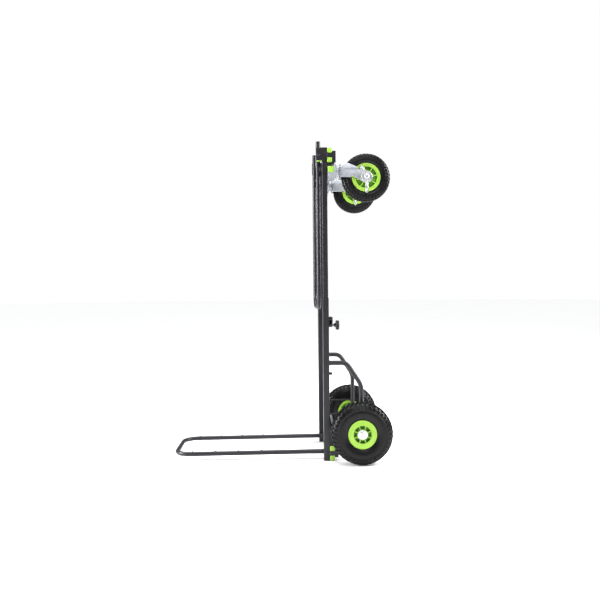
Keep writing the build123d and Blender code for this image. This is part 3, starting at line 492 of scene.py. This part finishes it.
HUB_CAP_PROFILE = [(0, 10), (0, 20.2), (1.2, 20.2), (2.2, 19.7), (2.7, 18.6), (2.4, 17.6), (2.3, 16.8),
                   (2.8, 16.0), (3, 15.2), (3, 10.4), (2.6, 10)]
for side, sign in SIDES.items():
    bearing_rings(f"sealed_bearings_{side}", f"wheel_bearings_{side}", f"wheel_{side}", 30, 17.5, 8.0, 11)
    bearing_rings(f"sealed_caster_bearings_{side}", f"caster_bearings_{side}", f"caster_wheel_{side}",
                  28, 14, 6.0, 8)
    middle, size = centre_mm(f"hub_cap_{side}")
    bm = bmesh.new()
    cap_place = at(middle.x, middle.y - sign * size.y / 2, middle.z, facing_y(sign))
    lathe(bm, cap_place, HUB_CAP_PROFILE, 64, closed=True)
    finish_piece(bm, f"domed_hub_cap_{side}", f"wheel_{side}", hub_metal, [f"hub_cap_{side}"])

# ---------------------------------------------------------------- casters
# Sizes in mm. A leg's place is from the caster's middle, and the crown's from the mounting plate's back.
FORK_THICKNESS = 3.5
FORK_LEG = 31.25
FORK_OUTSIDE = 33.0
FORK_EYE = 25.0
CROWN_SETBACK = 16.5
CROWN_HALF_WIDTH, CROWN_HALF_HEIGHT = 33, 28
FORK_HOLE = 6.2
RACE_LENGTH = 16
RACE_PROFILE = [(0, 6.1), (0, 23), (0.6, 24.4), (1.6, 25), (3.6, 25), (4.6, 24), (5.2, 22), (5.6, 20.2),
                (8.0, 20.2), (8.4, 22), (9.4, 23.6), (11.6, 24.6), (14.0, 24.2), (15.4, 22.5),
                (RACE_LENGTH, 20), (RACE_LENGTH, 6.1)]
LEVER_THICKNESS = 4.0
LEVER_GAP = 0.5
LEVER_HUB = 22.0
LEVER_ARMS = ((118.0, 42.0, 8.0), (-90.0, 60.0, 6.0))
LEVER_RIDGES = ((118.0, 16.0, 44.0, 2.0), (-90.0, 17.0, 60.0, 1.6))
LEVER_BOSS = [(0, 9.8), (0, 14), (0.9, 13.6), (1.2, 12.6), (1.2, 10.6), (0.9, 9.8)]
BOLT_HEAD_HEIGHT = 5.0
BOLT_HEAD = [(0, 5.9), (0, 10), (1.2, 10), (2.6, 9.2), (3.8, 7.6), (4.6, 5.6), (4.9, 4.4), (4.9, 3.7),
             (4.6, 3.4), (2.2, 3.4), (2.2, 0.01)]
NUT_HEIGHT = 7.0
WASHER = [(0.05, 6.1), (0.05, 11.4), (0.9, 11.4), (1.2, 11.0), (1.2, 6.1)]


def box_loop(half_width, half_height):
    return [(-half_width, -half_height), (half_width, -half_height), (half_width, half_height),
            (-half_width, half_height)]


def lever_reach(angle):
    """How far the brake lever's outline lies from the axle in a direction in degrees."""
    best = LEVER_HUB
    for direction, length, half_width in LEVER_ARMS:
        off = math.radians((angle - direction + 180) % 360 - 180)
        if abs(off) >= math.pi / 2:
            continue
        wall_reach = half_width / max(abs(math.sin(off)), 1e-6)
        drift = length * math.sin(off)
        if wall_reach * math.cos(off) <= length:
            best = max(best, wall_reach)
        elif abs(drift) <= half_width:
            best = max(best, length * math.cos(off) + math.sqrt(half_width ** 2 - drift ** 2))
    return best


lever_loop = [(lever_reach(a) * math.cos(math.radians(a)), lever_reach(a) * math.sin(math.radians(a)))
              for a in range(0, 360, 2)]
swivel_z = centre_mm("kingpins")[0].z
_, plate_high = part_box("caster_plates")
crown = plate_high.x / MM + CROWN_SETBACK
for side in SIDES:
    axle, _ = centre_mm(f"caster_tyre_{side}")
    ax, az = axle.x, axle.z
    front = [(ax - 61, az - 2), (ax - 79, az - 1), (crown + 0.4, swivel_z - 27.5), (crown + 0.4, swivel_z + 2),
             (crown + 4, swivel_z + 12), (crown + 13, swivel_z + 22), (crown + 25, swivel_z + 28.5),
             (crown + 34, swivel_z + 29), (ax - 33, az + 38)]
    outline = rounded(front, 7.0) + arc(ax, az, FORK_EYE, range(64, -122, -6))
    ridge = rounded([(crown + 16, swivel_z - 14), (crown + 20, swivel_z + 10), (ax - 34, az + 22),
                     (ax - 36, az + 6)], 8.0)
    bm = bmesh.new()
    for leg_side in SIDES.values():
        leg_place = at(0, axle.y + leg_side * FORK_LEG, 0, SIDE_VIEW)
        plate(bm, leg_place, [outline, circle(ax, az, FORK_HOLE)], FORK_THICKNESS, 0.9)
        ridge_place = at(0, axle.y + leg_side * (FORK_LEG - FORK_THICKNESS / 2), 0, SIDE_VIEW)
        plate(bm, ridge_place, [ridge], 1.6, 0.7)
    crown_loop = rounded(box_loop(CROWN_HALF_WIDTH, CROWN_HALF_HEIGHT), 5.0)
    crown_place = at(crown + FORK_THICKNESS / 2, axle.y, swivel_z, BACK_VIEW)
    plate(bm, crown_place, [crown_loop, circle(0, 0, FORK_HOLE)], FORK_THICKNESS, 0.9)
    lathe(bm, at(crown - RACE_LENGTH, axle.y, swivel_z, X_AXIS), RACE_PROFILE, 64, closed=True)
    finish_piece(bm, f"pressed_fork_{side}", f"fork_{side}", zinc, [f"caster_fork_{side}"])

    # Brake lever: one plate, star-shaped about the axle, with a raised boss and stiffening ridges.
    bm = bmesh.new()
    lever_y = axle.y - FORK_OUTSIDE - LEVER_GAP - LEVER_THICKNESS / 2
    lever_place = at(ax, lever_y, az, SIDE_VIEW)
    plate(bm, lever_place, [lever_loop, circle(0, 0, 6.1)], LEVER_THICKNESS, 0.9)
    for direction, low, high, half_width in LEVER_RIDGES:
        turned = lever_place @ Matrix.Rotation(math.radians(direction), 4, "Z")
        raised = turned @ Matrix.Translation((0, 0, LEVER_THICKNESS / 2 * MM))
        bar = [(low, -half_width), (high, -half_width), (high, half_width), (low, half_width)]
        plate(bm, raised, [rounded(bar, 1.8)], 1.4, 0.6)
    lathe(bm, lever_place @ Matrix.Translation((0, 0, 1.5 * MM)), LEVER_BOSS, 48, closed=True)
    finish_piece(bm, f"brake_pedal_{side}", f"brake_{side}", bright_zinc, [f"brake_lever_{side}"])

    # Axle bolt with a button head and socket, and its nut and washer.
    bm = bmesh.new()
    low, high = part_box(f"caster_axle_{side}")
    head_y = low.y / MM + BOLT_HEAD_HEIGHT
    shank = high.y / MM - head_y
    lathe(bm, at(ax, head_y, az, facing_y(-1)), BOLT_HEAD, 48, hexes=(8, 9))
    lathe(bm, at(ax, head_y, az, facing_y(1)), [(0, 5.9), (shank - 0.8, 5.9), (shank, 5.1), (shank, 0.01)], 32)
    nut_place = at(ax, axle.y + FORK_OUTSIDE + NUT_HEIGHT / 2, az, facing_y(1))
    plate(bm, nut_place, [circle(0, 0, 10.5, 6), circle(0, 0, 5.8, 32)], NUT_HEIGHT, 0.7)
    lathe(bm, at(ax, axle.y + FORK_OUTSIDE, az, facing_y(1)), WASHER, 40, closed=True)
    finish_piece(bm, f"caster_axle_bolt_{side}", f"fork_{side}", zinc, [f"caster_axle_{side}"])

# ---------------------------------------------------------------- fasteners on the axle and the handles
AXLE_WASHER_SEAT = 255.5
AXLE_SPACER_SEAT = 178.2
AXLE_WASHER = [(0, 8.05), (0, 14.6), (0.4, 15), (1.6, 15), (2, 14.6), (2, 8.05)]
AXLE_SPACER = [(0, 8.05), (0, 10.5), (0.4, 10.9), (12.6, 10.9), (13, 10.5), (13, 8.05)]
AXLE_NUT_HEIGHT = 7
axle_middle, _ = centre_mm("axle")


def on_axle(sign, y):
    return at(axle_middle.x, sign * y, axle_middle.z, facing_y(sign))


bm = bmesh.new()
for sign in SIDES.values():
    lathe(bm, on_axle(sign, AXLE_WASHER_SEAT), AXLE_WASHER, 48, closed=True)
    nut_loops = [circle(0, 0, 13, 6, 0.3), circle(0, 0, 8.05, 40)]
    plate(bm, on_axle(sign, AXLE_WASHER_SEAT + 2 + AXLE_NUT_HEIGHT / 2), nut_loops, AXLE_NUT_HEIGHT, 0.9)
    lathe(bm, on_axle(sign, AXLE_SPACER_SEAT), AXLE_SPACER, 40, closed=True)
finish_piece(bm, "axle_nuts_and_washers", "lower_frame", hub_metal, ["axle_fasteners"])

PIVOT_HEAD_HEIGHT = 4.0
PIVOT_NUT_HEIGHT = 6.5


def socket_bolts(name, node, body, places, nut_places, material, head=6.5, height=PIVOT_HEAD_HEIGHT,
                 shaft=4.0, length=30.0):
    """Button-head socket bolts, in mm, each with a shaft behind its head, and hexagon nuts."""
    head_profile = [(0, shaft), (0, head), (height * 0.3, head), (height * 0.65, head * 0.88),
                    (height * 0.92, head * 0.66), (height, head * 0.5), (height * 0.98, head * 0.42),
                    (height * 0.45, head * 0.42), (height * 0.45, 0.01)]
    bm = bmesh.new()
    for place in places:
        lathe(bm, place, head_profile, 36, hexes=(6, 7))
        lathe(bm, place, [(0.1, shaft), (-length + 0.6, shaft), (-length, shaft - 0.6), (-length, 0.01)], 24)
    for place in nut_places:
        plate(bm, place, [circle(0, 0, 7.2, 6), circle(0, 0, shaft, 24)], PIVOT_NUT_HEIGHT, 0.6)
    finish_piece(bm, name, body, material, [node])


HANDLE_DIAMETER = 19.0
_, handle_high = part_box("toe_handle_tube")
leg_inside = handle_high.y / MM - HANDLE_DIAMETER - 0.5
for end, body in (("toe", "lower_frame"), ("top", "upper_frame")):
    low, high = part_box(f"{end}_pivot_bolts")
    x, z = (low.x + high.x) / 2 / MM, (low.z + high.z) / 2 / MM
    seat = high.y / MM - PIVOT_HEAD_HEIGHT
    nut = leg_inside - PIVOT_NUT_HEIGHT / 2
    heads = [at(x, s * seat, z, facing_y(s)) for s in SIDES.values()]
    nuts = [at(x, s * nut, z, facing_y(s)) for s in SIDES.values()]
    socket_bolts(f"{end}_pivot_socket_bolts", f"{end}_pivot_bolts", body, heads, nuts,
                 black_fastener, length=seat - leg_inside + 7.0)

PLATE_BOLT_OFFSET = 26
plate_middle, _ = centre_mm("caster_plates")
plate_y = plate_high.y / MM - 35
places = [at(plate_high.x / MM, sign * plate_y + dy, plate_middle.z + dz, X_AXIS) for sign in SIDES.values()
          for dy in (-PLATE_BOLT_OFFSET, PLATE_BOLT_OFFSET) for dz in (-PLATE_BOLT_OFFSET, PLATE_BOLT_OFFSET)]
socket_bolts("caster_plate_socket_bolts", "caster_plate_bolts", "upper_frame", places, [], zinc,
             height=3.5, length=7.0)


# ---------------------------------------------------------------- square caps
CAP_THICKNESS = 3.0
FRAME_CAP_SIZE = 20
CASTER_CAP_SIZE = 25.4


def square_caps(name, node, body, spots, size):
    """Moulded caps on the ends of square tubes: a pillowed head over a thin collar."""
    bm = bmesh.new()
    half = size / 2
    for x, z, sign, seat in spots:
        place = at(x, sign * seat, z, facing_y(sign))
        head_place = place @ Matrix.Translation((0, 0, CAP_THICKNESS / 2 * MM))
        plate(bm, head_place, [rounded(box_loop(half, half), 3.0, 6)], CAP_THICKNESS, CAP_THICKNESS * 0.42)
        collar_place = place @ Matrix.Translation((0, 0, -4 * MM))
        plate(bm, collar_place, [rounded(box_loop(half - 3, half - 3), 1.5)], 8.5, 0.3)
    finish_piece(bm, name, body, green, [node])


for end, body in (("lower", "lower_frame"), ("upper", "upper_frame")):
    low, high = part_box(f"{end}_frame_caps")
    x, seat = (low.x + high.x) / 2 / MM, high.y / MM - CAP_THICKNESS
    heights = (low.z / MM + FRAME_CAP_SIZE / 2, high.z / MM - FRAME_CAP_SIZE / 2)
    spots = [(x, z, sign, seat) for sign in SIDES.values() for z in heights]
    square_caps(f"{end}_square_caps", f"{end}_frame_caps", body, spots, FRAME_CAP_SIZE)
middle, size = centre_mm("caster_tube_caps")
spots = [(middle.x, middle.z, sign, size.y / 2 - CAP_THICKNESS) for sign in SIDES.values()]
square_caps("caster_tube_square_caps", "caster_tube_caps", "upper_frame", spots, CASTER_CAP_SIZE)

# ---------------------------------------------------------------- lock knobs and bumpers
KNOB_HEAD = 14
KNOB_RADIUS, KNOB_WAVE, KNOB_LOBES = 19.7, 1.7, 6
KNOB_DOME = [(0, 0.01), (0.6, 6), (1.1, 9), (0.8, 11), (0, 12), (-3, 12)]
THREAD_PITCH = 1.25
lobes = [(r * math.cos(math.radians(a)), r * math.sin(math.radians(a))) for a in range(0, 360, 4)
         for r in [KNOB_RADIUS + KNOB_WAVE * math.cos(math.radians(KNOB_LOBES * a))]]
bar_low, bar_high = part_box("lock_cross_bar")
for side in SIDES:
    low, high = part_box(f"lock_knob_{side}")
    y, z = (low.y + high.y) / 2 / MM, (low.z + high.z) / 2 / MM
    back, tip = high.x / MM, low.x / MM
    head = back - KNOB_HEAD
    bm = bmesh.new()
    plate(bm, at(back - KNOB_HEAD / 2, y, z, BACK_VIEW), [lobes], 13.6, 3.0)
    lathe(bm, at(back - 1.2, y, z, X_AXIS), KNOB_DOME, 48)
    neck = [(head - 9, 4.2), (head - 9, 6.4), (head - 8, 6.9), (head - 4, 7.6), (head - 1.5, 9.4),
            (head + 1, 11), (head + 1, 0.01)]
    lathe(bm, at(0, y, z, X_AXIS), neck, 40)
    finish_piece(bm, f"star_knob_{side}", f"knob_{side}", black_plastic, [f"lock_knob_{side}"])
    bm = bmesh.new()
    thread = [(tip, 0.01), (tip, 3.0), (tip + 0.8, 3.9)]
    position = tip + 0.8
    while position < head - 8.5:
        thread += [(position + 0.35, 3.95), (position + 0.7, 3.55)]
        position += THREAD_PITCH
    thread += [(head - 8, 3.9), (head - 8, 0.01)]
    lathe(bm, at(0, y, z, X_AXIS), thread, 28)
    finish_piece(bm, f"knob_screw_{side}", f"knob_{side}", zinc)

BUMPER_RADIUS = 6
BUMPER_PROFILE = [(0, 0.01), (0, 5.6), (0.5, 6), (2.2, 6), (2.8, 5.2), (3.6, 5.1), (4.2, 5.8), (10.5, 5.4),
                  (12, 4.8), (12.8, 3.6), (13, 2), (13, 0.01)]
bm = bmesh.new()
low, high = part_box("stop_bumpers")
for sign in SIDES.values():
    for z in (low.z / MM + BUMPER_RADIUS, high.z / MM - BUMPER_RADIUS):
        place = at(low.x / MM, sign * (high.y / MM - BUMPER_RADIUS), z, X_AXIS)
        lathe(bm, place, BUMPER_PROFILE, 36)
finish_piece(bm, "rubber_stop_bumpers", "lower_frame", soft_rubber, ["stop_bumpers"])

# ---------------------------------------------------------------- weld beads
BEAD_SIDES = 8


def weld_bead(bm, points, radius, ripple=0.18):
    tube(bm, points, radius, BEAD_SIDES, ripple)


def straight(a, b, gap=0.9):
    """Points from a to b, about gap apart, in mm."""
    a, b = Vector(a), Vector(b)
    count = max(2, int((b - a).length / gap))
    return [tuple(a.lerp(b, k / count)) for k in range(count + 1)]


def across(x, z, y_from, y_to):
    return straight((x, y_from, z), (x, y_to, z))


outer_low, outer_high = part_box("outer_rail_right")
rail_back = outer_high.x / MM
rail_in, rail_out = outer_low.y / MM, outer_high.y / MM
rail_mid = (rail_in + rail_out) / 2
brace_radius, brace_ring = 9.5, 9.9
brace_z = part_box("axle_brace_right")[1].z / MM - brace_radius
strut_low, strut_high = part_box("axle_struts")
bm = bmesh.new()
for sign in SIDES.values():
    ring = [(rail_back + 0.4, y, z) for y, z in arc(sign * rail_mid, brace_z, brace_ring, range(0, 360, 6))]
    weld_bead(bm, ring + ring[:1], 1.5, 0.16)
    for y in (rail_mid - 9.7, rail_mid + 9.7):
        saddle = arc(axle_middle.x, axle_middle.z, 14.3, range(38, 118, 4))
        weld_bead(bm, [(x, sign * y, z) for x, z in saddle], 1.5, 0.16)
    for z in (strut_low.z / MM, strut_high.z / MM):
        weld_bead(bm, across(rail_back + 0.4, z, sign * (rail_mid - 11), sign * (rail_mid + 11)), 1.3)
        weld_bead(bm, across(strut_high.x / MM - 0.4, z, sign * (rail_mid - 8), sign * (rail_mid + 8)), 1.2)
    for z in (bar_low.z / MM, bar_high.z / MM):
        weld_bead(bm, across(rail_back + 0.3, z, sign * (rail_in + 2), sign * (rail_out - 2)), 1.2)
finish_piece(bm, "lower_weld_beads", "lower_frame", paint, sharp=60)

cross_low, cross_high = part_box("lower_cross_tube")
upper_low, upper_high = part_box("upper_cross_tube")
inner_low, inner_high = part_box("inner_rail_right")
caster_low, caster_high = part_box("caster_cross_tube")
upper_heights = (upper_low.z, upper_high.z, caster_low.z, caster_high.z)
for name, body, back, heights, inside, outside in (
        ("lower_cross_weld_beads", "lower_frame", rail_back, (cross_low.z, cross_high.z), rail_in, rail_out),
        ("upper_cross_weld_beads", "upper_frame", inner_high.x / MM, upper_heights, inner_low.y / MM,
         inner_high.y / MM)):
    bm = bmesh.new()
    for sign in SIDES.values():
        for z in heights:
            weld_bead(bm, across(back + 0.3, z / MM, sign * (inside + 1.5), sign * (outside - 1.5)), 1.1)
    finish_piece(bm, name, body, paint, sharp=60)

# ---------------------------------------------------------------- finish of the CAD nodes that stay
by_slot = {"frame_paint": paint, "fastener_black": black_fastener, "zinc": zinc, "steel": steel,
           "hub_metal": hub_metal, "green_plastic": green, "black_plastic": black_plastic,
           "black_rubber": soft_rubber, "tyre_rubber": tyre_rubber}
softened = {"cheek_plates": 0.5, "spacer_blocks": 0.8, "axle_struts": 0.6, "strut_stay": 0.4,
            "caster_brackets": 0.6, "caster_plates": 0.7, "kingpins": 0.6, "toe_handle_studs": 1.1,
            "top_handle_studs": 1.1, "toe_handle_plugs": 1.0, "top_handle_plugs": 1.0, "axle": 0.4,
            "rail_foot_plugs": 0.6}


def slot_of(piece):
    """The material slot that a CAD node came with."""
    if not piece.data.materials:
        return "frame_paint"
    own = piece.data.materials[0].name
    return next((slot for slot in by_slot if own.startswith(slot)), "frame_paint")


for name, piece in nodes.items():
    slot_name = slot_of(piece)
    piece.data.materials.clear()
    piece.data.materials.append(by_slot[slot_name])
    if name in softened and not piece.hide_render:
        weld = piece.modifiers.new("weld", "WELD")
        weld.merge_threshold = 1e-6
        flat = piece.modifiers.new("flat", "DECIMATE")
        flat.decimate_type = "DISSOLVE"
        flat.angle_limit = math.radians(1.0)
        soften = piece.modifiers.new("soften", "BEVEL")
        soften.width = softened[name] * MM
        soften.segments = 3
        soften.limit_method = "ANGLE"
        soften.angle_limit = math.radians(32)
        soften.harden_normals = True

# ---------------------------------------------------------------- floor, light and camera
floor_mat = make_material("studio_floor", (0.80, 0.80, 0.80), 0.85, tint=0.01, blotch=1.5, grain=200.0,
                          grain_depth=0.00002)
bm = bmesh.new()
lathe(bm, Matrix.Identity(4), [(-0.4, 0.01), (-0.4, 1500), (-0.4, 6000), (-0.4, 30000)], 64)
mesh = bpy.data.meshes.new("studio_floor")
bmesh.ops.remove_doubles(bm, verts=bm.verts, dist=1e-5)
bmesh.ops.recalc_face_normals(bm, faces=bm.faces)
bm.to_mesh(mesh)
bm.free()
mesh.materials.append(floor_mat)
floor = bpy.data.objects.new("studio_floor", mesh)
scene.collection.objects.link(floor)

# The camera sees plain white past the floor, and the object is lit by a dimmer, slightly blue room.
world = bpy.data.worlds.new("studio")
world.use_nodes = True
sky = world.node_tree
backdrop = sky.nodes["Background"]
backdrop.inputs["Color"].default_value = (1.0, 1.0, 1.0, 1.0)
backdrop.inputs["Strength"].default_value = 1.0
room = sky.nodes.new("ShaderNodeBackground")
room.inputs["Color"].default_value = (0.96, 0.98, 1.0, 1.0)
room.inputs["Strength"].default_value = ROOM_LIGHT
path = sky.nodes.new("ShaderNodeLightPath")
either = sky.nodes.new("ShaderNodeMixShader")
sky.links.new(path.outputs["Is Camera Ray"], either.inputs["Fac"])
sky.links.new(room.outputs["Background"], either.inputs[1])
sky.links.new(backdrop.outputs["Background"], either.inputs[2])
sky.links.new(either.outputs["Shader"], sky.nodes["World Output"].inputs["Surface"])
scene.world = world

LIGHT_TARGET = Vector((0.1, 0, 0.6))


def lamp_from(name, light, azimuth, elevation, distance=0.0):
    """Lamp that shines at the object. Azimuth 0 is the camera's side, and +90 is the wheels' side."""
    lamp = bpy.data.objects.new(name, light)
    scene.collection.objects.link(lamp)
    a, e = math.radians(azimuth), math.radians(elevation)
    toward = Vector((math.sin(a) * math.cos(e), -math.cos(a) * math.cos(e), math.sin(e)))
    if distance:
        lamp.location = LIGHT_TARGET + toward * distance
    lamp.rotation_mode = "QUATERNION"
    lamp.rotation_quaternion = toward.to_track_quat("Z", "Y")


def sun(name, strength, angle, azimuth, elevation):
    light = bpy.data.lights.new(name, "SUN")
    light.energy = strength
    light.angle = math.radians(angle)
    lamp_from(name, light, azimuth, elevation)


def softbox(name, power, size, azimuth, elevation, distance):
    light = bpy.data.lights.new(name, "AREA")
    light.energy = power
    light.shape = "RECTANGLE"
    light.size, light.size_y = size
    lamp_from(name, light, azimuth, elevation, distance)


sun("overhead_sun", 3.3, 60, 200, 72)
softbox("left_softbox", 230, (0.6, 2.2), -82, 14, 3.4)
softbox("right_softbox", 210, (0.7, 2.0), 84, 26, 3.4)
softbox("front_softbox", 60, (2.4, 1.2), 6, 44, 4.2)

camera_data = bpy.data.cameras.new("camera")
camera = bpy.data.objects.new("camera", camera_data)
scene.collection.objects.link(camera)
camera.location = (0.002, -2.72, 0.7295)
camera.rotation_euler = (math.radians(90), math.radians(0.5), 0)
camera_data.sensor_width = 36.0
camera_data.lens = 36.57
camera_data.shift_x = 0.033
camera_data.shift_y = -0.022
scene.camera = camera
scene.view_settings.view_transform = "Standard"
